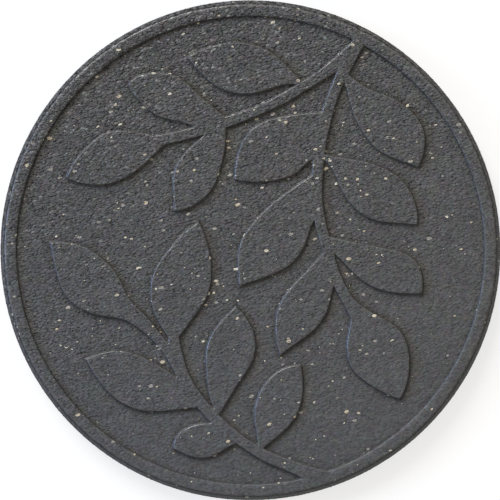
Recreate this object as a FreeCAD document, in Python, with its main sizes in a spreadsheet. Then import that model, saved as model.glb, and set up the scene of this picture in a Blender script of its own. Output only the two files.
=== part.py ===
import FreeCAD, Part
import os
from math import pi, radians, tan
import Sketcher
from FreeCAD import Vector

# Garden stepping stone: a round moulded slab with a plain raised rim, a sunk flat field
# and two leafy sprigs that stand up from the field to the level of the rim.
# Millimetres; the origin is the middle of the underside, +Z is up, and the sprigs grow
# from the +Y side and from the -Y side of the rim.

NODE = "stepping_stone"

# Driving sizes: name, value, what it is
SIZES = (
    ("stone_diameter", 450, "across the foot of the leaning side, where the stone is widest"),
    ("stone_thickness", 18, "from the underside to the top of the rim and the leaves"),
    ("side_lean", 13, "degrees that the side leans in from upright"),
    ("rim_width", 10, "flat top of the rim, from its outer edge to the field"),
    ("rim_round", 1.5, "radius that softens the outer edge of the rim"),
    ("relief_depth", 3, "how far the field lies below the rim and the leaves"),
)

# Sizes that follow from the driving ones: name, formula, what it is
FOLLOWING = (
    ("field_radius", "=stone_diameter / 2 - stone_thickness * tan(side_lean * 1 deg) - rim_width",
     "inner edge of the rim"),
    ("field_level", "=stone_thickness - relief_depth", "height of the field"),
)

# The drawing on the face, in thousandths of the field's radius from its middle.
# Each outline has two sides, both listed from the root to the tip. The sides of a leaf meet
# at its tip, and its root lies inside a stem. A stem starts under the rim and ends in a leaf.
# Stems a and b fork from one trunk, and stem c is the other sprig.
DRAWING_RADIUS = 1000

STEMS = {
    "stem_a": (
        [(448, 905), (361, 825), (263, 746), (173, 693), (41, 622), (-87, 576), (-258, 522), (-430, 488)],
        [(477, 890), (433, 821), (363, 757), (275, 703), (169, 637), (41, 576), (-87, 526), (-219, 484),
         (-420, 441)],
    ),
    "stem_b": (
        [(448, 905), (391, 821), (365, 757), (305, 595), (271, 471), (262, 343), (261, 215), (278, 96),
         (307, -7), (352, -148), (395, -229), (433, -305)],
        [(490, 885), (425, 761), (386, 680), (356, 590), (320, 420), (310, 317), (310, 202), (329, 96),
         (356, -7), (386, -105), (423, -177), (459, -237)],
    ),
    "stem_c": (
        [(344, -945), (267, -924), (177, -894), (83, -856), (-2, -809), (-87, -743), (-181, -647),
         (-256, -536), (-288, -438), (-313, -318)],
        [(224, -975), (156, -942), (62, -903), (-19, -854), (-96, -800), (-179, -726), (-258, -630),
         (-313, -540), (-347, -433), (-343, -318)],
    ),
}

LEAVES = {
    "leaf_a1": (
        [(237, 701), (169, 774), (62, 859), (-53, 887), (-173, 868), (-275, 823)],
        [(211, 701), (126, 699), (41, 673), (-45, 666), (-130, 689), (-215, 757), (-275, 823)],
    ),
    "leaf_a2": (
        [(-79, 548), (-164, 616), (-237, 680), (-301, 735), (-386, 757), (-471, 746), (-522, 710)],
        [(-232, 514), (-301, 548), (-386, 567), (-446, 608), (-497, 663), (-522, 710)],
    ),
    "leaf_a3": (
        [(-386, 480), (-450, 499), (-535, 512), (-621, 499), (-693, 445), (-749, 381), (-787, 307)],
        [(-343, 462), (-386, 428), (-450, 366), (-522, 313), (-621, 278), (-706, 282), (-787, 307)],
    ),
    "leaf_a4": (
        [(-173, 514), (-217, 475), (-283, 411), (-324, 343), (-330, 258), (-326, 164)],
        [(-104, 548), (-104, 492), (-109, 420), (-128, 343), (-158, 266), (-215, 206), (-326, 164)],
    ),
    "leaf_b1": (
        [(391, 778), (459, 718), (531, 678), (617, 644), (689, 590), (736, 522), (745, 450), (715, 352)],
        [(382, 744), (403, 703), (420, 642), (446, 561), (484, 492), (544, 426), (625, 386), (715, 352)],
    ),
    "leaf_b2": (
        [(331, 590), (254, 586), (169, 576), (83, 558), (7, 518), (-40, 450), (-62, 377), (-68, 300)],
        [(297, 386), (250, 375), (199, 330), (135, 303), (36, 289), (-68, 300)],
    ),
    "leaf_b3": (
        [(288, 418), (403, 394), (510, 373), (591, 339), (655, 292), (693, 228), (714, 152), (711, 106)],
        [(288, 394), (336, 360), (369, 299), (403, 230), (457, 167), (527, 128), (617, 114), (711, 106)],
    ),
    "leaf_b4": (
        [(297, 343), (251, 314), (167, 256), (83, 192), (7, 113), (-43, 32), (-55, -58), (-49, -156)],
        [(288, 147), (254, 83), (224, 2), (173, -60), (83, -109), (-49, -156)],
    ),
    "leaf_b5": (
        [(305, 68), (369, 52), (467, 31), (572, 10), (655, -11), (711, -54), (736, -126), (732, -186)],
        [(335, 6), (369, -27), (403, -61), (455, -114), (527, -160), (621, -184), (732, -186)],
    ),
    "leaf_b6": (
        [(335, 15), (282, -41), (211, -116), (147, -188), (111, -271), (106, -352), (126, -453)],
        [(369, -126), (352, -169), (331, -254), (271, -342), (199, -397), (126, -453)],
    ),
    "leaf_b7": (
        [(403, -160), (442, -206), (491, -246), (553, -283), (617, -322), (659, -374), (678, -446),
         (673, -551), (638, -638)],
        [(433, -263), (425, -314), (410, -404), (429, -502), (493, -564), (570, -610), (638, -638)],
    ),
    "leaf_c1": (
        [(-326, -425), (-386, -350), (-446, -278), (-505, -220), (-557, -122), (-629, -35), (-710, 17),
         (-787, 34), (-855, 34)],
        [(-292, -578), (-335, -502), (-382, -425), (-454, -352), (-527, -303), (-649, -278), (-770, -216),
         (-830, -88), (-855, 34)],
    ),
    "leaf_c2": (
        [(-335, -404), (-365, -352), (-411, -267), (-428, -180), (-411, -92), (-360, -11), (-292, 67),
         (-219, 123)],
        [(-318, -391), (-284, -345), (-228, -269), (-181, -192), (-165, -96), (-179, 19), (-219, 123)],
    ),
    "leaf_c3": (
        [(-275, -566), (-309, -542), (-386, -493), (-471, -448), (-557, -427), (-638, -438), (-706, -463)],
        [(-190, -668), (-241, -674), (-322, -682), (-407, -689), (-493, -677), (-569, -638), (-642, -564),
         (-706, -463)],
    ),
    "leaf_c4": (
        [(-156, -677), (-173, -630), (-188, -532), (-190, -433), (-168, -361), (-126, -301), (-62, -237)],
        [(-156, -736), (-113, -672), (-53, -574), (-2, -497), (24, -408), (7, -329), (-62, -237)],
    ),
    "leaf_c5": (
        [(-138, -741), (-194, -735), (-258, -751), (-309, -783), (-328, -847)],
        [(-36, -817), (-92, -841), (-156, -877), (-224, -887), (-283, -869), (-328, -847)],
    ),
    "leaf_c6": (
        [(32, -852), (24, -775), (15, -702), (26, -638), (66, -561), (130, -508), (216, -487)],
        [(32, -869), (66, -837), (126, -788), (186, -724), (220, -638), (225, -561), (216, -487)],
    ),
}


def make_sheet(doc):
    """The sizes, one to a row: name, value and what it is."""
    sheet = doc.addObject("Spreadsheet::Sheet", "Sizes")
    for row, (name, value, meaning) in enumerate(SIZES + FOLLOWING, start=1):
        sheet.set(f"A{row}", name)
        sheet.set(f"B{row}", str(value))
        sheet.setAlias(f"B{row}", name)
        sheet.set(f"C{row}", meaning)
    doc.recompute()
    return sheet


def origin_plane(body, role):
    """One of the body's own origin planes."""
    return next(plane for plane in body.Origin.OriginFeatures if plane.Role == role)


def new_sketch(body, name, role):
    """An empty sketch on one of the body's origin planes."""
    sketch = body.newObject("Sketcher::SketchObject", name)
    sketch.AttachmentSupport = [(origin_plane(body, role), "")]
    sketch.MapMode = "FlatFace"
    return sketch


# In a sketch's constraints, a line's or curve's ends are points 1 and 2, a circle's centre is
# point 3, and point 1 of item -1 is the sketch's own origin.


def add_sizes(sketch, sizes):
    """Dimensions of a sketch that follow the sheet: each a name, a formula, a kind and its places."""
    constraints = []
    for _, formula, kind, *places in sizes:
        constraints.append(Sketcher.Constraint(kind, *places, sketch.evalExpression(formula)))
    indices = sketch.addConstraint(constraints)
    for index, (name, formula, *_) in zip(indices, sizes):
        sketch.renameConstraint(index, name)
        sketch.setExpression(f"Constraints.{name}", formula)


def joined(kind, line, next_line):
    """The second end of one line meets the first end of the next."""
    return Sketcher.Constraint(kind, line, 2, next_line, 1)


def make_slab(body, sheet):
    """The round slab: half of its section, turned about the upright axis."""
    top = sheet.stone_thickness
    level = sheet.field_level
    lean = radians(sheet.side_lean)
    middle = Vector(0, 0)
    foot_end = Vector(sheet.stone_diameter / 2, 0)
    field_top = Vector(sheet.field_radius, top)
    field_foot = Vector(sheet.field_radius, level)
    field_middle = Vector(0, level)
    round_run = sheet.rim_round * tan((pi / 2 - lean) / 2)
    round_centre = Vector(sheet.field_radius + sheet.rim_width - round_run, top - sheet.rim_round)
    round_circle = Part.Circle(round_centre, Vector(0, 0, 1), sheet.rim_round)
    soft_edge = Part.ArcOfCircle(round_circle, lean, pi / 2)

    section = new_sketch(body, "slab_section", "XZ_Plane")
    foot = section.addGeometry(Part.LineSegment(middle, foot_end))
    side = section.addGeometry(Part.LineSegment(foot_end, soft_edge.StartPoint))
    edge = section.addGeometry(soft_edge)
    rim = section.addGeometry(Part.LineSegment(soft_edge.EndPoint, field_top))
    wall = section.addGeometry(Part.LineSegment(field_top, field_foot))
    field = section.addGeometry(Part.LineSegment(field_foot, field_middle))
    axis = section.addGeometry(Part.LineSegment(field_middle, middle))
    section.addConstraint([
        joined("Coincident", foot, side),
        joined("Tangent", side, edge),
        joined("Tangent", edge, rim),
        joined("Coincident", rim, wall),
        joined("Coincident", wall, field),
        joined("Coincident", field, axis),
        joined("Coincident", axis, foot),
        Sketcher.Constraint("Coincident", foot, 1, -1, 1),
        Sketcher.Constraint("Horizontal", foot),
        Sketcher.Constraint("Horizontal", rim),
        Sketcher.Constraint("Vertical", wall),
        Sketcher.Constraint("Horizontal", field),
        Sketcher.Constraint("Vertical", axis),
    ])
    add_sizes(section, [
        ("foot_radius", "Sizes.stone_diameter / 2", "DistanceX", foot, 1, foot, 2),
        ("thickness", "Sizes.stone_thickness", "DistanceY", foot, 1, rim, 2),
        ("lean", "(90 + Sizes.side_lean) * 1 deg", "Angle", side),
        ("softness", "Sizes.rim_round", "Radius", edge),
        ("field_edge", "Sizes.field_radius", "DistanceX", foot, 1, rim, 2),
        ("depth", "Sizes.relief_depth", "DistanceY", wall, 2, wall, 1),
    ])

    slab = body.newObject("PartDesign::Revolution", "slab")
    slab.Profile = section
    slab.ReferenceAxis = (section, ["V_Axis"])
    slab.Angle = 360


def draw_side(sketch, name, points, unit):
    """One side of an outline: a smooth curve through its points, whose poles follow the field's radius."""
    curve = Part.BSplineCurve()
    curve.interpolate([Vector(x, y) for x, y in points])
    drawn_poles = curve.getPoles()
    for number, pole in enumerate(drawn_poles, start=1):
        curve.setPole(number, pole * unit)
    side = sketch.addGeometry(curve)
    sketch.exposeInternalGeometry(side)
    sizes = []
    for number, pole in enumerate(drawn_poles, start=1):
        for axis, place in (("X", pole.x), ("Y", pole.y)):
            formula = f"Sizes.field_radius / {DRAWING_RADIUS} * {place}"
            sizes.append((f"{name}_{number}_{axis}", formula, f"Distance{axis}", -1, 1, side + number, 3))
    add_sizes(sketch, sizes)
    return side


def make_relief(body, sheet, name, sides):
    """A leaf or a stem: its outline, padded from the field up to the level of the rim."""
    unit = sheet.field_radius / DRAWING_RADIUS
    outline = new_sketch(body, f"{name}_outline", "XY_Plane")
    outline.setExpression("AttachmentOffset.Base.z", "Sizes.field_level")
    one, other = [draw_side(outline, f"side_{number}", points, unit) for number, points in enumerate(sides)]
    open_ends = (1, 2) if name in STEMS else (1,)
    for end in open_ends:
        across = Part.LineSegment(outline.getPoint(one, end), outline.getPoint(other, end))
        line = outline.addGeometry(across)
        outline.addConstraint([
            Sketcher.Constraint("Coincident", line, 1, one, end),
            Sketcher.Constraint("Coincident", line, 2, other, end),
        ])

    pad = body.newObject("PartDesign::Pad", name)
    pad.Profile = outline
    pad.setExpression("Length", "Sizes.relief_depth")


def check_model(doc, body):
    """Stops if anything failed to build, or if the stone isn't one sound solid."""
    failed = [item.Name for item in doc.Objects if {"Invalid", "Error"} & set(item.State)]
    if failed:
        raise RuntimeError(f"these failed to build: {failed}")
    if body.Shape.isNull() or not body.Shape.isValid() or len(body.Shape.Solids) != 1:
        raise RuntimeError("the stone isn't one sound solid")


def main():
    doc = FreeCAD.newDocument("garden_stepping_stone")
    sheet = make_sheet(doc)
    body = doc.addObject("PartDesign::Body", NODE)
    body.Label = NODE
    make_slab(body, sheet)
    for name, sides in (STEMS | LEAVES).items():
        make_relief(body, sheet, name, sides)
    doc.recompute()
    check_model(doc, body)
    os.makedirs("parts", exist_ok=True)
    body.Shape.exportStep(f"parts/{body.Label}.step")


main()
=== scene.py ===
from math import cos, pi, radians, sin
import bpy
import numpy as np
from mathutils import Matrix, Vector
from mathutils.bvhtree import BVHTree
from mathutils.geometry import delaunay_2d_cdt
from mathutils.kdtree import KDTree


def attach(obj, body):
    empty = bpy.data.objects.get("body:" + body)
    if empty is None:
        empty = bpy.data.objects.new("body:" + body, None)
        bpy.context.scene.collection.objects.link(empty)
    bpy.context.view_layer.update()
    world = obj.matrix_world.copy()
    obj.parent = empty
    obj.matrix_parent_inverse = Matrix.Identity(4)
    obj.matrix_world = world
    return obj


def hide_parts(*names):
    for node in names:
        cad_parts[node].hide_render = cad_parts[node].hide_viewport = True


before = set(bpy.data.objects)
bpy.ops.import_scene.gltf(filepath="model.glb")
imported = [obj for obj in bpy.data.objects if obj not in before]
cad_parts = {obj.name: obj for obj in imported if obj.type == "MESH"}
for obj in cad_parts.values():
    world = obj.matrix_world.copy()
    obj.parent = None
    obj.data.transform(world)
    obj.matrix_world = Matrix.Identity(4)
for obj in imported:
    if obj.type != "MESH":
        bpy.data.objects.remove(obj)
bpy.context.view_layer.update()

# A round garden stepping stone, moulded from dark rubber crumb, seen from straight above.
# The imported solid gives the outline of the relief, the levels and the section of the rim.
# The piece made here follows them with softly leaning walls and a crumbly skin.
# Lengths are millimetres until a mesh, a lamp or the camera is made, in metres.

NODE = "stepping_stone"
SKIN_VALUES = ("on_wall", "foot_shade", "crease", "side_shade_amount")  # what the mesh tells the material of each point: its polish and where shade is painted
MM = 0.001
CORNER_DIGITS = 3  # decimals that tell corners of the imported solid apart
RING_DIGITS = 2  # decimals that tell rings of its side apart
HAIR = 0.01  # radii that differ by less are the same
SAME_POINT = 1e-6  # so are points that lie nearer
WHOLE_HULL = 0  # the kind of triangulation that fills the hull of its points
RAY_START = 1.0  # how far above the top a ray down to the solid starts
SEED = 11
rng = np.random.default_rng(SEED)

# Walls of the relief, measured across the outline, + towards the field
WALL_FOOT = 0.3  # where a wall rises from the field
STEEP_RUN = 0.7  # its steep part, seen from above
SHOULDER_RUN, SHOULDER_RISE = 1.6, 0.8  # the round shoulder above it, seen from above and upwards
RIM_SHIFT = 1.0  # how much further into the field the wall of the rim stands
RIM_SHOULDER = 0.9  # how much larger its shoulder is
RIM_DULL = 0.6  # how much less polished it is
RIM_NEAR = 3.0  # walls nearer to the rim than this start to take on its form
POLISHED_RUN = 1.5  # how far in from its foot a wall is smooth
WALL_FADE = 0.45  # how far beyond that its skin turns crumbly
WALL_ROWS = (-0.4, 0.3, -1.1, -0.7, -1.55, -0.05, 0.7, -2.0)  # rows of points along the outline
FOOT_SHADE_REACH = 4.5  # how far painted shade, tinted warm, spreads over the field from the foot of a wall
CREASE_REACH = 0.7  # how far the painted shade of the crease at the foot reaches
RIM_CREASE = 1.0  # how much darker the painted shade of the crease along the rim is
OUTLINE_STEP = 1.4  # from point to point along a row
FINE_STEP = 0.2  # samples of the outline that distances are measured to
SHARP_TURN = radians(12)  # the outline's curves turn less than this from corner to corner
FAN_STEPS = 4  # steps of the fan of points round a sharp corner
LEAST_GAP = 0.28  # no two points of the rows are nearer than this

# Points between the rows
SKIN_STEP = 1.75  # on the rim, the leaves and the field
SKIN_CLEAR = 2.3  # how far they stay from the outline
SIDE_STEP = 2.0  # on the side of the stone
ROUND_ROWS = 4  # steps over the rounded outer edge of the rim
UNDER_STEP = 7.0  # on the plain underside
LOOSE = 0.22  # how far points stray from their even places, as a share of the step

# The rounded outer edge of the rim and the side below it
RIDGE_POLISH = 1.3  # how polished the edge is, where a wall of the relief has 1
RIDGE_MIDDLE = 0.4  # middle of its polished band, as a share of the way over the edge
RIDGE_HALF, RIDGE_FADE = 0.15, 0.5  # half the width of that band and its fade, as shares of the same way
DARK_START, DARK_FADE = 0.5, 0.45  # where painted shade starts on the edge and how long it takes to be full, likewise
EDGE_LINE = 3.5  # height of the band of darkest painted shade on the side, under the rounded edge
EDGE_FADE = 2.5  # height in which that painted shade lightens below the band
SIDE_LIFT = 0.65  # how much less painted shade there is there
FOOT_ROUND = 0.25  # softening of the edge that the stone stands on

# The crumbly skin: how far points stand in or out, as a standard deviation
SKIN_CRUMB = 0.085
WALL_CRUMB = 0.04
SIDE_CRUMB = 0.1
UNDER_CRUMB = 0.08


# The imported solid

def read_solid():
    """Corners, in millimetres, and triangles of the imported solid, with shared corners joined."""
    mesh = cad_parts[NODE].data
    places = np.empty(len(mesh.vertices) * 3)
    mesh.vertices.foreach_get("co", places)
    mesh.calc_loop_triangles()
    corners = np.empty(len(mesh.loop_triangles) * 3, int)
    mesh.loop_triangles.foreach_get("vertices", corners)
    places = np.round(places.reshape(-1, 3) / MM, CORNER_DIGITS)
    joined, index = np.unique(places, axis=0, return_inverse=True)
    return joined, index.reshape(-1)[corners].reshape(-1, 3)


def border_loops(triangles):
    """Closed loops of corner numbers round a set of triangles, with the set on the left."""
    edges = np.concatenate([triangles[:, [0, 1]], triangles[:, [1, 2]], triangles[:, [2, 0]]])
    _, first, uses = np.unique(np.sort(edges, axis=1), axis=0, return_index=True, return_counts=True)
    following = dict(edges[first[uses == 1]].tolist())
    loops = []
    while following:
        start, corner = following.popitem()
        loop = [start]
        while corner != start:
            loop.append(corner)
            corner = following.pop(corner)
        loops.append(loop)
    return loops


solid_places, solid_triangles = read_solid()
solid_radii = np.hypot(solid_places[:, 0], solid_places[:, 1])
TOP = solid_places[:, 2].max()
top_corners = solid_places[:, 2] == TOP
top_triangles = solid_triangles[top_corners[solid_triangles].all(axis=1)]
top_loops = border_loops(top_triangles)
RIDGE_RADIUS = solid_radii[top_corners].max()
relief_loop = min(top_loops, key=lambda loop: solid_radii[loop].min())
FIELD_RADIUS = solid_radii[relief_loop].max()
levels, corner_counts = np.unique(solid_places[solid_places[:, 2] < TOP, 2], return_counts=True)
FIELD = levels[np.argmax(corner_counts)]


# The outline of the relief

def cut_at_corners(points):
    """The closed loop cut into stretches, each from a sharp corner to the next."""
    ahead = np.roll(points, -1, axis=0) - points
    heading = np.arctan2(ahead[:, 1], ahead[:, 0])
    turn = (heading - np.roll(heading, 1) + pi) % (2 * pi) - pi
    sharp = np.nonzero(np.abs(turn) > SHARP_TURN)[0]
    stretches = []
    for start, end in zip(sharp, np.roll(sharp, -1)):
        count = (end - start) % len(points)
        stretches.append(points[(start + np.arange(count + 1)) % len(points)])
    return stretches


def follow(points, step):
    """Places at even steps on a smooth curve through the points, and the curve's directions there."""
    gaps = np.hypot(*np.diff(points, axis=0).T)
    run = np.concatenate([[0], np.cumsum(gaps)])
    wanted = np.linspace(0, run[-1], max(2, round(run[-1] / step) + 1))
    slopes = np.gradient(points, run, axis=0, edge_order=min(2, len(gaps)))
    span = np.clip(np.searchsorted(run, wanted, side="right") - 1, 0, len(gaps) - 1)
    gap = gaps[span][:, None]
    t = (wanted - run[span])[:, None] / gap
    start, end = points[span], points[span + 1]
    out, into = slopes[span] * gap, slopes[span + 1] * gap
    places = (start + t * t * (3 - 2 * t) * (end - start)
              + t * (1 - t) ** 2 * out - t * t * (1 - t) * into)
    directions = (6 * t * (1 - t) * (end - start)
                  + (1 - t) * (1 - 3 * t) * out + t * (3 * t - 2) * into)
    return places, directions / np.linalg.norm(directions, axis=1, keepdims=True)


def to_field(directions):
    """The sideways direction that points from the relief to the field."""
    return np.stack([directions[:, 1], -directions[:, 0]], axis=1)


def corner_fan(arriving, leaving):
    """Directions towards the field, turning from one stretch's end to the next one's start."""
    first = np.arctan2(arriving[1], arriving[0])
    turn = (np.arctan2(leaving[1], leaving[0]) - first + pi) % (2 * pi) - pi
    angles = first + turn * np.arange(1, FAN_STEPS) / FAN_STEPS
    return np.stack([np.cos(angles), np.sin(angles)], axis=1)


def tree_of(points):
    """A tree that finds the nearest of some points in a plane."""
    tree = KDTree(len(points))
    for number, (x, y) in enumerate(points):
        tree.insert((x, y, 0), number)
    tree.balance()
    return tree


def thinned(points, least_gap):
    """The points, in order, without those too near to an earlier one."""
    cells = {}
    kept = []
    for x, y in points:
        column, row = int(x // least_gap), int(y // least_gap)
        near = [other for i in (-1, 0, 1) for j in (-1, 0, 1)
                for other in cells.get((column + i, row + j), ())]
        if all((x - u) ** 2 + (y - v) ** 2 >= least_gap ** 2 for u, v in near):
            cells.setdefault((column, row), []).append((x, y))
            kept.append((x, y))
    return np.array(kept)


stretches = cut_at_corners(solid_places[relief_loop][:, :2])
outline = tree_of(np.concatenate([follow(stretch, FINE_STEP)[0] for stretch in stretches]))


def distance_to_outline(points):
    """How far each point lies from the outline of the relief."""
    return np.array([outline.find((x, y, 0))[2] for x, y in points])


def smooth_step(t):
    """From 0 to 1 as t does, with a gentle start and end."""
    t = np.clip(t, 0, 1)
    return t * t * (3 - 2 * t)


def rim_share(points):
    """1 on the rim and at its wall, falling to 0 a little way into the field."""
    return smooth_step((np.hypot(points[:, 0], points[:, 1]) - FIELD_RADIUS) / RIM_NEAR + 1)


def wall_points():
    """Rows of points along the outline, on it and to both sides, with fans round its corners."""
    followed = [follow(stretch, OUTLINE_STEP) for stretch in stretches]
    places = [place for place, _ in followed]
    sideways = [to_field(direction) for _, direction in followed]
    for number in range(len(followed)):
        fan = corner_fan(sideways[number - 1][-1], sideways[number][0])
        places.append(np.repeat(followed[number][0][:1], len(fan), axis=0))
        sideways.append(fan)
    places, sideways = np.concatenate(places), np.concatenate(sideways)
    shift = RIM_SHIFT * rim_share(places)
    rows = []
    for offset in WALL_ROWS:
        row = places + sideways * (offset + shift)[:, None]
        reaches = distance_to_outline(row) > np.abs(offset + shift) - FINE_STEP / 2
        rows.append(row[reaches])
    return thinned(np.concatenate(rows), LEAST_GAP)


# Points of the skin

def even_points(radius, step):
    """Points in staggered rows within a circle, each moved a little from its even place."""
    row_step = step * 3 ** 0.5 / 2
    rows = int(radius / row_step)
    columns = int(radius / step) + 1
    row, column = np.mgrid[-rows:rows + 1, -columns:columns + 1]
    points = np.stack([(column + row % 2 / 2) * step, row * row_step], axis=-1).reshape(-1, 2)
    points += rng.uniform(-LOOSE, LOOSE, points.shape) * step
    return points[np.hypot(points[:, 0], points[:, 1]) < radius]


def outer_section():
    """The section from the rim's flat top over its rounded edge and down the side: radius and height."""
    outer = solid_radii > RIDGE_RADIUS - HAIR
    downwards = np.stack([-solid_places[outer, 2], solid_radii[outer]], axis=1)
    section = np.unique(np.round(downwards, RING_DIGITS), axis=0)
    heights, radii = -section[:, 0], section[:, 1]
    foot_radius = radii[-1]
    soft_radius = np.interp(-FOOT_ROUND, -heights, radii)
    radii = np.concatenate([radii[:-1], [soft_radius, foot_radius - FOOT_ROUND]])
    heights = np.concatenate([heights[:-1], [FOOT_ROUND, 0]])
    return radii, heights


section_radii, section_heights = outer_section()
section_steps = np.hypot(np.diff(section_radii), np.diff(section_heights))
section_run = np.concatenate([[0], np.cumsum(section_steps)])
FOOT_RUN = section_run[-1]
SIDE_START = section_run[np.argmax(section_steps > SIDE_STEP)]


def ring_runs():
    """How far down the section each ring of the side lies."""
    rounded = np.linspace(0, SIDE_START, ROUND_ROWS + 1)
    soft_start = section_run[-2]
    side_rows = round((soft_start - SIDE_START) / SIDE_STEP)
    side = np.linspace(SIDE_START, soft_start, side_rows + 1)[1:]
    return np.concatenate([rounded, side, [FOOT_RUN]])


def side_rings():
    """Rings of points down the side, unrolled into the plane of the top. The last ring is the foot."""
    columns = round(2 * pi * RIDGE_RADIUS / SIDE_STEP)
    runs = ring_runs()
    rings = []
    for number, run in enumerate(runs):
        angles = (np.arange(columns) + number % 2 / 2) * 2 * pi / columns
        stray = np.zeros(columns)
        if SIDE_START < run < section_run[-2]:
            angles += rng.uniform(-LOOSE, LOOSE, columns) * 2 * pi / columns
            stray = rng.uniform(-LOOSE, LOOSE, columns) * SIDE_STEP
        radii = RIDGE_RADIUS + run + stray
        rings.append(np.stack([radii * np.cos(angles), radii * np.sin(angles)], axis=1))
    return rings


def triangulated(points):
    """Triangles that join points in a plane, seen from above."""
    corners = [Vector(point) for point in points]
    _, _, faces, sources, _, _ = delaunay_2d_cdt(corners, [], [], WHOLE_HULL, SAME_POINT)
    source = np.array([found[0] for found in sources])
    faces = source[np.array(faces)]
    one, two, three = points[faces[:, 0]], points[faces[:, 1]], points[faces[:, 2]]
    across = np.cross(two - one, three - one)
    faces[across < 0] = faces[across < 0][:, ::-1]
    return faces


def is_relief(points):
    """Whether each place lies on the relief or the rim, and not over the field."""
    solid = BVHTree.FromPolygons(solid_places.tolist(), solid_triangles.tolist())
    halfway = (TOP + FIELD) / 2
    down = Vector((0, 0, -1))
    found = [solid.ray_cast((x, y, TOP + RAY_START), down)[0] for x, y in points]
    return np.array([place.z > halfway for place in found])


def wall_height(from_foot, at_rim):
    """Height of the top, a distance in from the foot of a wall: a steep wall, then a round shoulder."""
    run = SHOULDER_RUN * (1 + RIM_SHOULDER * at_rim)
    rise = SHOULDER_RISE * (1 + RIM_SHOULDER * at_rim)
    steep = np.clip(from_foot / STEEP_RUN, 0, 1) * (TOP - FIELD - rise)
    short_of_top = np.clip(1 - (from_foot - STEEP_RUN) / run, 0, 1)
    return FIELD + steep + rise * np.sqrt(1 - short_of_top ** 2)


def raised(points):
    """Places in space for points of the top and the unrolled side, and what the skin is like there.

    The skin's values tell how much a point lies on a polished wall or edge, how much painted shade, tinted
    warm, lies on the field at the foot of a wall, how much painted shade lies in the crease at that foot,
    and how much painted shade darkens the side there. They are 0 where there is nothing of it and 1 where
    there is all of it, but more on the outer edge, which is polished more, and in the crease of the rim,
    whose painted shade is darker.
    """
    radii = np.hypot(points[:, 0], points[:, 1])
    over = radii > RIDGE_RADIUS - HAIR
    run = np.clip(radii - RIDGE_RADIUS, 0, FOOT_RUN)
    turned_in = np.where(over, np.interp(run, section_run, section_radii) / radii, 1)
    heights = np.interp(run, section_run, section_heights)
    within = distance_to_outline(points[~over])
    within = np.where(is_relief(points[~over]), within, -within)
    at_rim = rim_share(points[~over])
    from_foot = within + WALL_FOOT + RIM_SHIFT * at_rim
    heights[~over] = wall_height(from_foot, at_rim)
    skin = {name: np.zeros(len(points)) for name in SKIN_VALUES}
    past_wall = np.abs(from_foot - POLISHED_RUN / 2) - POLISHED_RUN / 2
    skin["on_wall"][~over] = (1 - smooth_step(past_wall / WALL_FADE)) * (1 - RIM_DULL * at_rim)
    rounded = run[over] / SIDE_START
    past_ridge = np.abs(rounded - RIDGE_MIDDLE) - RIDGE_HALF
    skin["on_wall"][over] = RIDGE_POLISH * (1 - smooth_step(past_ridge / RIDGE_FADE))
    below = from_foot < STEEP_RUN
    # painted shade, tinted warm, on the field at the foot of a wall
    skin["foot_shade"][~over] = np.exp(np.minimum(0, from_foot) / FOOT_SHADE_REACH) * below
    # painted shade in the crease at the foot of a wall, darker along the rim
    skin["crease"][~over] = np.exp(-np.abs(from_foot) / CREASE_REACH) * below * (1 + RIM_CREASE * at_rim)
    # painted shade on the side: a dark band under the rounded edge, less of it below
    below_edge = smooth_step((run[over] - SIDE_START - EDGE_LINE) / EDGE_FADE)
    turned_dark = smooth_step((rounded - DARK_START) / DARK_FADE)
    skin["side_shade_amount"][over] = turned_dark * (1 - SIDE_LIFT * below_edge)
    return np.column_stack([points * turned_in[:, None], heights]), skin


def corner_normals(places, faces):
    """The direction out of the surface at each point."""
    one, two, three = places[faces[:, 0]], places[faces[:, 1]], places[faces[:, 2]]
    across = np.cross(two - one, three - one)
    normals = np.zeros_like(places)
    for corner in range(3):
        np.add.at(normals, faces[:, corner], across)
    return normals / np.linalg.norm(normals, axis=1, keepdims=True)


def make_stone():
    """The dressed stone: one closed mesh of the top, the side and the underside."""
    walls = wall_points()
    skin = even_points(RIDGE_RADIUS - SKIN_STEP / 2, SKIN_STEP)
    skin = skin[distance_to_outline(skin) > SKIN_CLEAR]
    rings = side_rings()
    upper = np.concatenate([walls, skin] + rings)
    upper_faces = triangulated(upper)
    places, skin_values = raised(upper)

    foot = np.arange(len(upper) - len(rings[-1]), len(upper))
    inner = even_points(section_radii[-1] - UNDER_STEP / 2, UNDER_STEP)
    under = np.concatenate([places[foot, :2], inner])
    under_numbers = np.concatenate([foot, len(upper) + np.arange(len(inner))])
    under_faces = under_numbers[triangulated(under)][:, ::-1]

    places = np.concatenate([places, np.column_stack([inner, np.zeros(len(inner))])])
    faces = np.concatenate([upper_faces, under_faces])
    skin_values = {name: np.append(values, np.zeros(len(inner))) for name, values in skin_values.items()}

    radii = np.hypot(upper[:, 0], upper[:, 1])
    crumb = SKIN_CRUMB + (WALL_CRUMB - SKIN_CRUMB) * skin_values["on_wall"]
    crumb[:len(upper)][radii > RIDGE_RADIUS + SIDE_START] = SIDE_CRUMB
    moved = rng.standard_normal(len(places)) * crumb
    places += corner_normals(places, faces) * moved[:, None]
    places[foot, 2] = 0
    places[len(upper):, 2] = np.abs(rng.standard_normal(len(inner))) * UNDER_CRUMB

    mesh = bpy.data.meshes.new("dressed_stone")
    mesh.from_pydata((places * MM).tolist(), [], faces.tolist())
    mesh.shade_smooth()
    for name, values in skin_values.items():
        mesh.attributes.new(name, "FLOAT", "POINT").data.foreach_set("value", values)
    add_map(mesh, upper, inner, upper_faces, under_faces)
    stone = bpy.data.objects.new("dressed_stone", mesh)
    bpy.context.scene.collection.objects.link(stone)
    stone.data.materials.append(crumb_rubber())
    return stone


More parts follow.
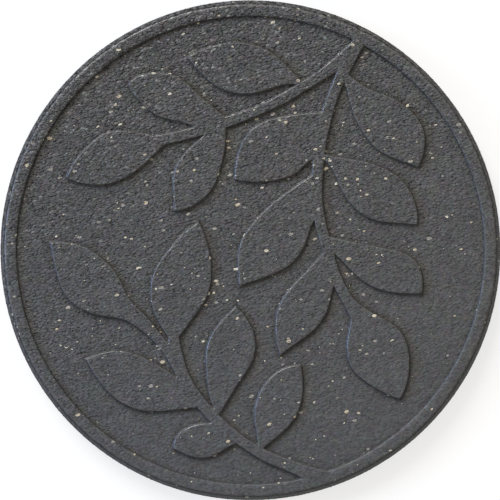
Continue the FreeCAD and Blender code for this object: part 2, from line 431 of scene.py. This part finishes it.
def add_map(mesh, upper, inner, upper_faces, under_faces):
    """A flat map of the surface: a large disc for the top and the side, a small one for the underside."""
    large, small, margin = 0.42, 0.15, 0.01
    upper_map = upper / (RIDGE_RADIUS + FOOT_RUN) * large + (large + margin, large + margin)
    under = np.concatenate([upper, inner])
    under_radius = np.hypot(under[:, 0], under[:, 1])
    drawn_in = section_radii[-1] / np.maximum(under_radius, section_radii[-1])
    corner = 1 - small - margin
    under_map = under * drawn_in[:, None] / section_radii[-1] * small + (corner, corner)
    layer = mesh.uv_layers.new(name="OFBake")
    drawn = np.concatenate([upper_map[upper_faces].reshape(-1), under_map[under_faces].reshape(-1)])
    layer.data.foreach_set("uv", drawn)


# Material of the stone, with lengths in millimetres and two ends for what changes along a range

GRANULE = 1.87  # width of a granule
GRANULE_TONES = (
    (0.0, (0.062, 0.062, 0.063)),
    (0.55, (0.087, 0.087, 0.088)),
    (0.84, (0.108, 0.108, 0.109)),
    (0.93, (0.145, 0.145, 0.145)),
    (1.0, (0.29, 0.29, 0.29)),
)
MIDDLE_TONE = 0.5  # place along the tones that all granules draw near to as they differ less
GAP_EDGE = (0.4, 0.8)  # where a granule starts to darken towards its gaps and where it ends, from its middle
GAP_SHADE = 0.7
GRAIN_TURN = radians(14)  # granules lie a little longer in this direction
GRAIN_SCALE = (0.68, 1.1, 1.0)
BEND_SIZE = 2.0  # of the small waves that make granules, pores and flecks less regular
BEND_REACH = 1.4
GRADIENT_DIRECTION = (0.4, -0.9, 0.0)  # direction of a gradient across the stone, from the upper left towards the lower right, away from the light
GRADIENT_RUN = (-200, 200)  # where the gradient starts and where it is full, from the middle
LOWER_RIGHT_DARKENING = (0.99, 0.88)  # how much darker the rubber is towards the lower right
TONE_CONTRAST = (1.0, 0.62)  # how much the granules differ in tone, from the upper left to the lower right
TINT = 0.32  # how much the patches of warmer and cooler granules differ
TINT_PATCH = 7.0
CLOUDS = ((24.0, 2.0, 0.07), (8.0, 1.0, 0.05))  # lighter and darker patches: size, detail, strength
CLOUD_NOISE = (0.3, 0.7)
BLUE_LIGHT_DIRECTION = (-0.55, -0.83, 0.0)  # painted bluish light makes the rubber a little bluer that way
CAST_RUN = (-60, 200)  # where the cast starts to turn cool and where it is cool, from the middle
WARM_LIGHT_CAST = (1.01, 1.0, 0.985)
COOL_LIGHT_CAST = (0.965, 0.995, 1.07)
# tint of the painted shade on the field at the foot of the walls
FOOT_SHADE_TINT = (0.81, 0.79, 0.75)
CREASE_SHADE = 0.16  # how dark the painted shade in the crease at the foot of the rim is beside the field

EDGE_SHADE = (0.42, 0.26)  # how dark the painted shade of the band under the rounded edge is beside the top, lighter on the lit upper left and darker on the shaded lower right
EDGE_GRADIENT = (0.2, 0.8)  # the stretch of the gradient towards the lower right along which that changes
SIDE_KNOB = 3.5  # width of the knobs and pits of the rough side
KNOB_STRETCH = (1.0, 1.0, 0.7)
KNOB_NOISE = (0.36, 0.64)
KNOB_SHADE = (0.2, 1.25)  # from the painted shade of a pit to a knob
KNOB_GRADIENT = (1.0, 0.25)  # how strong they are, from the upper left, where they darken the lit side most, to the lower right

PORE_CELL = 2.3
PORE_SHARE = 0.55  # share of the cells with a pore
PORE_REACH = (0.18, 0.42)  # smallest and largest, as a share of a cell
PORE_EDGE = (0.25, 1.1)  # where a pore starts to rise and where it ends, as shares of its reach
PORE_DEPTH = 2.0
PORE_SHADE = 0.2

# Pale flecks: width of a cell, share of the cells without one, near the middle and far from it, and
# the smallest and largest reach of one, as shares of a cell
FINE_FLECKS = (1.9, (0.986, 0.991), (0.16, 0.34))
LARGE_FLECKS = (3.4, (0.91, 0.972), (0.16, 0.52))
FLECK_MIDDLE = (-20.0, 25.0, 15.0)  # where they are densest
FLECK_SPREAD = (90.0, 290.0)  # they thin out between these distances from there
FLECK_POWER = 2.0  # makes small ones more common than large ones
FLECK_SOCKET = 0.15  # width of the dark socket round one, as a share of a cell
SOCKET_COLOUR = (0.015, 0.014, 0.012)
SOCKET_STRENGTH = 0.5
FLECK_COLOURS = (
    (0.0, (0.61, 0.55, 0.43)),
    (0.28, (0.30, 0.285, 0.255)),
    (0.5, (0.52, 0.45, 0.34)),
    (0.66, (0.38, 0.355, 0.31)),
    (0.82, (0.66, 0.61, 0.51)),
)

DOME_HEIGHT = (0.2, 1.6)  # of the lowest and highest granules
GRIT_SIZE = 1.87  # of the unevenness over the granules
GRIT_DETAIL = 2.0
GRIT_HEIGHT = 0.8
BUMP_STRENGTH = (1.22, 0.24)  # from the upper left to the lower right
WALL_BUMP = 0.2  # share of it that is left on a polished wall
POLISH_PATCH = 18.0  # size of the smoother and rougher stretches along a wall
POLISH_NOISE = (0.35, 0.65)
POLISH_SHARE = (0.65, 1.0)  # how polished those stretches are
CRUMB_ROUGHNESS, WALL_ROUGHNESS = 0.65, 0.35
CRUMB_GLOSS, WALL_GLOSS = 0.5, 0.82
SPARKLE_SIZE = 1.8  # size of the brighter and duller specks of a polished wall
SPARKLE_NOISE = (0.4, 0.62)
SPARKLE = (0.7, 1.5)


class Nodes:
    """Short ways to add nodes to a node tree and join them."""

    def __init__(self, tree):
        self.tree = tree
        tree.nodes.clear()

    def add(self, kind, inputs=None, **settings):
        """A new node, with each input set to a value or joined to another node."""
        node = self.tree.nodes.new(kind)
        for name, value in settings.items():
            setattr(node, name, value)
        for name, value in (inputs or {}).items():
            if isinstance(value, bpy.types.NodeSocket):
                self.tree.links.new(value, node.inputs[name])
            else:
                node.inputs[name].default_value = value
        return node

    def math(self, operation, one, two=0.0, three=0.0):
        return self.add("ShaderNodeMath", {0: one, 1: two, 2: three}, operation=operation).outputs[0]

    def product(self, first, *others):
        """All the values multiplied."""
        for other in others:
            first = self.math("MULTIPLY", first, other)
        return first

    def vector(self, operation, one, two, three=(0.0, 0.0, 0.0)):
        """A vector worked out from others."""
        inputs = {0: one, 1: two, 2: three}
        return self.add("ShaderNodeVectorMath", inputs, operation=operation).outputs["Vector"]

    def measure(self, operation, one, two):
        """A number worked out from two vectors."""
        return self.add("ShaderNodeVectorMath", {0: one, 1: two}, operation=operation).outputs["Value"]

    def span(self, value, low, high, to_low=0.0, to_high=1.0, kind="LINEAR"):
        """The value carried from one range to another, held at its ends."""
        inputs = {"Value": value, "From Min": low, "From Max": high, "To Min": to_low, "To Max": to_high}
        return self.add("ShaderNodeMapRange", inputs, interpolation_type=kind).outputs["Result"]

    def ease(self, value, low, high, to_low=0.0, to_high=1.0):
        """The same, with a gentle start and end."""
        return self.span(value, low, high, to_low, to_high, "SMOOTHSTEP")

    def between(self, share, start, end):
        """The value that lies a share of the way from start to end."""
        return self.span(share, 0, 1, start, end)

    def mix(self, share, one, two, blend="MIX"):
        inputs = {0: share, 6: one, 7: two}
        return self.add("ShaderNodeMix", inputs, data_type="RGBA", blend_type=blend).outputs[2]

    def tinted(self, first, *others):
        """All the colours multiplied."""
        for other in others:
            first = self.mix(1.0, first, other, "MULTIPLY")
        return first

    def grey(self, value):
        return self.add("ShaderNodeCombineColor", {0: value, 1: value, 2: value}).outputs[0]

    def noise(self, place, size, detail=1.0, output="Fac"):
        inputs = {"Vector": place, "Scale": 1 / size, "Detail": detail}
        return self.add("ShaderNodeTexNoise", inputs).outputs[output]

    def cells(self, place, size):
        """How far a place lies from the middle of its cell, and three random values of that cell."""
        cell = self.add("ShaderNodeTexVoronoi", {"Vector": place, "Scale": 1 / size}).outputs
        picks = self.add("ShaderNodeSeparateColor", {"Color": cell["Color"]}).outputs
        return cell["Distance"], picks

    def ramp(self, share, stops, kind="LINEAR"):
        """The colour a share of the way along stops, each a place and its colour."""
        node = self.add("ShaderNodeValToRGB", {"Fac": share})
        ramp = node.color_ramp
        ramp.interpolation = kind
        while len(ramp.elements) < len(stops):
            ramp.elements.new(1.0)
        for element, (position, colour) in zip(ramp.elements, stops):
            element.position = position
            element.color = (*colour, 1)
        return node.outputs["Color"]


def grain_places(n, place):
    """The place turned and stretched along the grain, and the same bent by small waves."""
    turned = n.add("ShaderNodeVectorRotate", {"Vector": place, "Angle": -GRAIN_TURN}, rotation_type="Z_AXIS")
    grain = n.vector("MULTIPLY", turned.outputs[0], GRAIN_SCALE)
    bend = n.noise(grain, BEND_SIZE, output="Color")
    return grain, n.vector("MULTIPLY_ADD", bend, (BEND_REACH,) * 3, grain)


def granule_colour(n, place, granule_pick, contrast):
    """Each granule's own tone, with a tint that changes from patch to patch."""
    apart = n.math("SUBTRACT", granule_pick[0], MIDDLE_TONE)
    tone = n.ramp(n.math("MULTIPLY_ADD", apart, contrast, MIDDLE_TONE), GRANULE_TONES)
    hues = n.noise(place, TINT_PATCH, output="Color")
    tint = n.vector("MULTIPLY_ADD", hues, (TINT,) * 3, (1 - TINT / 2,) * 3)
    return n.tinted(tone, tint)


def painted_light_cast(n, place):
    """A slight cast of painted light over the whole stone, from warm to a bluish light."""
    across = n.measure("DOT_PRODUCT", place, BLUE_LIGHT_DIRECTION)
    return n.mix(n.span(across, *CAST_RUN), (*WARM_LIGHT_CAST, 1), (*COOL_LIGHT_CAST, 1))


def cloud_shade(n, place):
    """Large and small patches that are a little lighter or darker."""
    return n.product(*(n.span(n.noise(place, size, detail), *CLOUD_NOISE, 1 - strength, 1 + strength)
                       for size, detail, strength in CLOUDS))


def pores(n, bent):
    """How deep each place lies in a pore, from 0 to 1."""
    from_middle, pick = n.cells(bent, PORE_CELL)
    reach = n.between(pick[1], *PORE_REACH)
    depth = n.ease(n.math("DIVIDE", from_middle, reach), *PORE_EDGE, 1.0, 0.0)
    return n.math("MULTIPLY", depth, n.math("LESS_THAN", pick[0], PORE_SHARE))


def painted_side_shade(n, place, towards_lower_right, side_shade_amount):
    """Painted shade on the side beside the top: a dark band under the rounded edge, and knobs and shaded
    pits.
    """
    knobs = n.noise(n.vector("MULTIPLY", place, KNOB_STRETCH), SIDE_KNOB)
    knobs = n.ease(knobs, *KNOB_NOISE, *KNOB_SHADE)
    knobs = n.between(n.between(towards_lower_right, *KNOB_GRADIENT), 1.0, knobs)
    band = n.ease(towards_lower_right, *EDGE_GRADIENT, *EDGE_SHADE)
    return n.math("MULTIPLY", n.between(side_shade_amount, 1.0, band), n.span(side_shade_amount, 0, 1 - SIDE_LIFT, 1.0, knobs))


def flecked(n, rubber, place, bent, cell, bar, reaches):
    """The rubber with pale flecks, each in a dark socket, fewer away from the middle of the sprigs."""
    from_middle, pick = n.cells(bent, cell)
    away = n.measure("DISTANCE", place, FLECK_MIDDLE)
    chosen = n.math("GREATER_THAN", pick[0], n.span(away, *FLECK_SPREAD, *bar))
    reach = n.between(n.math("POWER", pick[1], FLECK_POWER), *reaches)
    past_fleck = n.math("SUBTRACT", from_middle, reach)
    is_fleck = n.math("MULTIPLY", chosen, n.math("LESS_THAN", past_fleck, 0.0))
    in_socket = n.math("MULTIPLY", chosen, n.math("LESS_THAN", past_fleck, FLECK_SOCKET))
    socketed = n.mix(n.math("MULTIPLY", in_socket, SOCKET_STRENGTH), rubber, (*SOCKET_COLOUR, 1))
    return n.mix(is_fleck, socketed, n.ramp(pick[2], FLECK_COLOURS, "CONSTANT"))


def crumb_bump(n, grain, from_middle, granule_pick, in_pore, strength):
    """Bumps of the domed granules, of the grit on them and of the pores."""
    dome = n.math("SUBTRACT", 1.0, n.math("MULTIPLY", from_middle, from_middle))
    dome = n.math("MULTIPLY", dome, n.between(granule_pick[1], *DOME_HEIGHT))
    height = n.math("MULTIPLY_ADD", n.noise(grain, GRIT_SIZE, GRIT_DETAIL), GRIT_HEIGHT, dome)
    height = n.math("MULTIPLY_ADD", in_pore, -PORE_DEPTH, height)
    return n.add("ShaderNodeBump", {"Strength": strength, "Distance": MM, "Height": height}).outputs["Normal"]


def crumb_rubber():
    """Bonded rubber crumb: dark grey granules, a few pale ones, and smoother moulded edges."""
    material = bpy.data.materials.new("crumb_rubber")
    material.use_nodes = True
    n = Nodes(material.node_tree)
    metres = n.add("ShaderNodeTexCoord").outputs["Object"]
    place = n.vector("MULTIPLY", metres, (1 / MM,) * 3)
    skin = {name: n.add("ShaderNodeAttribute", attribute_name=name).outputs["Fac"] for name in SKIN_VALUES}
    towards_lower_right = n.span(n.measure("DOT_PRODUCT", place, GRADIENT_DIRECTION), *GRADIENT_RUN)
    contrast = n.between(towards_lower_right, *TONE_CONTRAST)
    grain, bent = grain_places(n, place)
    from_middle, granule_pick = n.cells(bent, GRANULE)
    in_pore = pores(n, bent)
    # painted shade on the side, as a share of the rubber's colour
    side = painted_side_shade(n, place, towards_lower_right, skin["side_shade_amount"])

    # granules with dark gaps and pores, painted shade at the foot of the walls, in the creases and on the
    # side, a painted cast of light, and pale flecks among them
    lower_right_darkening = n.between(towards_lower_right, *LOWER_RIGHT_DARKENING)
    gaps = n.ease(from_middle, *GAP_EDGE, 1.0, GAP_SHADE)
    dark_pore = n.between(n.math("MULTIPLY", in_pore, contrast), 1.0, PORE_SHADE)
    # painted shade in the crease at the foot of a wall
    painted_crease_shade = n.span(skin["crease"], 0, 1 + RIM_CREASE, 1.0, CREASE_SHADE)
    shade = n.product(cloud_shade(n, place), lower_right_darkening, gaps, dark_pore, side, painted_crease_shade)
    # painted shade, tinted warm, on the field at the foot of a wall
    foot_tint = n.mix(skin["foot_shade"], (1, 1, 1, 1), (*FOOT_SHADE_TINT, 1))
    granules = granule_colour(n, place, granule_pick, contrast)
    # the rubber's colour, with the painted light cast and the painted shade
    colour = n.tinted(granules, foot_tint, painted_light_cast(n, place), n.grey(shade))
    for flecks in (FINE_FLECKS, LARGE_FLECKS):
        colour = flecked(n, colour, place, bent, *flecks)

    # bumps, weaker on the moulded walls and towards the lower right
    patchiness = n.ease(n.noise(place, POLISH_PATCH), *POLISH_NOISE, *POLISH_SHARE)
    polish = n.math("MULTIPLY", skin["on_wall"], patchiness)
    strength = n.math("MULTIPLY", n.between(polish, 1.0, WALL_BUMP), n.between(towards_lower_right, *BUMP_STRENGTH))
    normal = crumb_bump(n, grain, from_middle, granule_pick, in_pore, strength)

    # gloss, with sparkling specks on the polished walls and less of it where shade is painted on the side
    sparkle = n.ease(n.noise(place, SPARKLE_SIZE), *SPARKLE_NOISE, *SPARKLE)
    gloss = n.between(polish, CRUMB_GLOSS, n.math("MULTIPLY", sparkle, WALL_GLOSS))
    shader = n.add("ShaderNodeBsdfPrincipled", {
        "Base Color": colour,
        "Roughness": n.between(polish, CRUMB_ROUGHNESS, WALL_ROUGHNESS),
        "Specular IOR Level": n.math("MULTIPLY", gloss, side),
        "Normal": normal,
    })
    n.add("ShaderNodeOutputMaterial", {"Surface": shader.outputs[0]})
    return material


# Floor, light and camera

FLOOR_REACH = 30000.0
FLOOR_DROP = 0.3  # how far it lies below the stone
FLOOR_TONE = 0.34
FLOOR_LIFT = 0.69  # raises the floor to white, where no shadow falls

AMBIENT = (0.345, 0.325, 0.29)
# Soft lamps: name, direction that the light comes from, height above the horizon and width, in degrees,
# share of the light on a level surface, colour
LAMPS = (
    ("key", 117, 31, 32, 0.42, (1.03, 1.0, 0.94)),
    ("side", 168, 18, 18, 0.11, (0.5, 0.87, 1.63)),
    ("sky", 120, 60, 110, 0.14, (1.0, 1.0, 1.02)),
    ("fill", 255, 25, 60, 0.015, (0.9, 1.0, 1.12)),
)

PHOTO_PIXELS = 500
PIXEL = 0.8989  # millimetres of the stone to a pixel of the photo
STONE_AT = (250.4, 250.2)  # the stone's middle in the photo, in pixels
LENS = 1200.0  # very long, for a camera that is far away
SENSOR = 36.0


def seen_directly(n):
    """1 for what the camera sees, also in a reflection or through glass, and 0 for other light."""
    path = n.add("ShaderNodeLightPath").outputs
    seen = n.math("MAXIMUM", path["Is Camera Ray"], path["Is Glossy Ray"])
    return n.math("MAXIMUM", seen, path["Is Transmission Ray"])


def floor_paper():
    """Plain white paper that keeps the stone's shadow."""
    material = bpy.data.materials.new("floor_paper")
    material.use_nodes = True
    n = Nodes(material.node_tree)
    matte = n.add("ShaderNodeBsdfDiffuse", {"Color": (FLOOR_TONE,) * 3 + (1,)})
    lift = n.math("MULTIPLY", seen_directly(n), FLOOR_LIFT)
    glow = n.add("ShaderNodeEmission", {"Color": (1, 1, 1, 1), "Strength": lift})
    both = n.add("ShaderNodeAddShader", {0: matte.outputs[0], 1: glow.outputs[0]})
    n.add("ShaderNodeOutputMaterial", {"Surface": both.outputs[0]})
    return material


def make_floor():
    """A wide level square just below the stone."""
    mesh = bpy.data.meshes.new("floor")
    reach, level = FLOOR_REACH * MM, -FLOOR_DROP * MM
    corners = [(-reach, -reach, level), (reach, -reach, level), (reach, reach, level), (-reach, reach, level)]
    mesh.from_pydata(corners, [], [(0, 1, 2, 3)])
    floor = bpy.data.objects.new("floor", mesh)
    floor.data.materials.append(floor_paper())
    bpy.context.scene.collection.objects.link(floor)


def make_light():
    """Even light from all round, and soft lamps that each add their share on a level surface."""
    world = bpy.data.worlds.new("plain_light")
    world.use_nodes = True
    n = Nodes(world.node_tree)
    light = n.add("ShaderNodeBackground", {"Color": (*AMBIENT, 1), "Strength": 1.0})
    n.add("ShaderNodeOutputWorld", {"Surface": light.outputs[0]})
    bpy.context.scene.world = world
    for name, azimuth, elevation, width, share, colour in LAMPS:
        turn, rise = radians(azimuth), radians(elevation)
        lamp = bpy.data.lights.new(name, "SUN")
        lamp.energy = share * pi / sin(rise)
        lamp.angle = radians(width)
        lamp.color = colour
        sun = bpy.data.objects.new(name, lamp)
        towards = Vector((cos(rise) * cos(turn), cos(rise) * sin(turn), sin(rise)))
        sun.rotation_euler = towards.to_track_quat("Z", "Y").to_euler()
        bpy.context.scene.collection.objects.link(sun)


def make_camera():
    """Straight above, far enough away to see the stone's side as narrow as in the photo."""
    data = bpy.data.cameras.new("camera")
    data.lens = LENS
    data.sensor_width = SENSOR
    distance = PHOTO_PIXELS * PIXEL * LENS / SENSOR
    camera = bpy.data.objects.new("camera", data)
    x = (PHOTO_PIXELS / 2 - STONE_AT[0]) * PIXEL
    y = (STONE_AT[1] - PHOTO_PIXELS / 2) * PIXEL
    camera.location = Vector((x, y, TOP / 2 + distance)) * MM
    bpy.context.scene.collection.objects.link(camera)
    bpy.context.scene.camera = camera


stone = make_stone()
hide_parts(NODE)
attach(stone, "root")
make_floor()
make_light()
make_camera()
bpy.context.scene.view_settings.view_transform = "Standard"
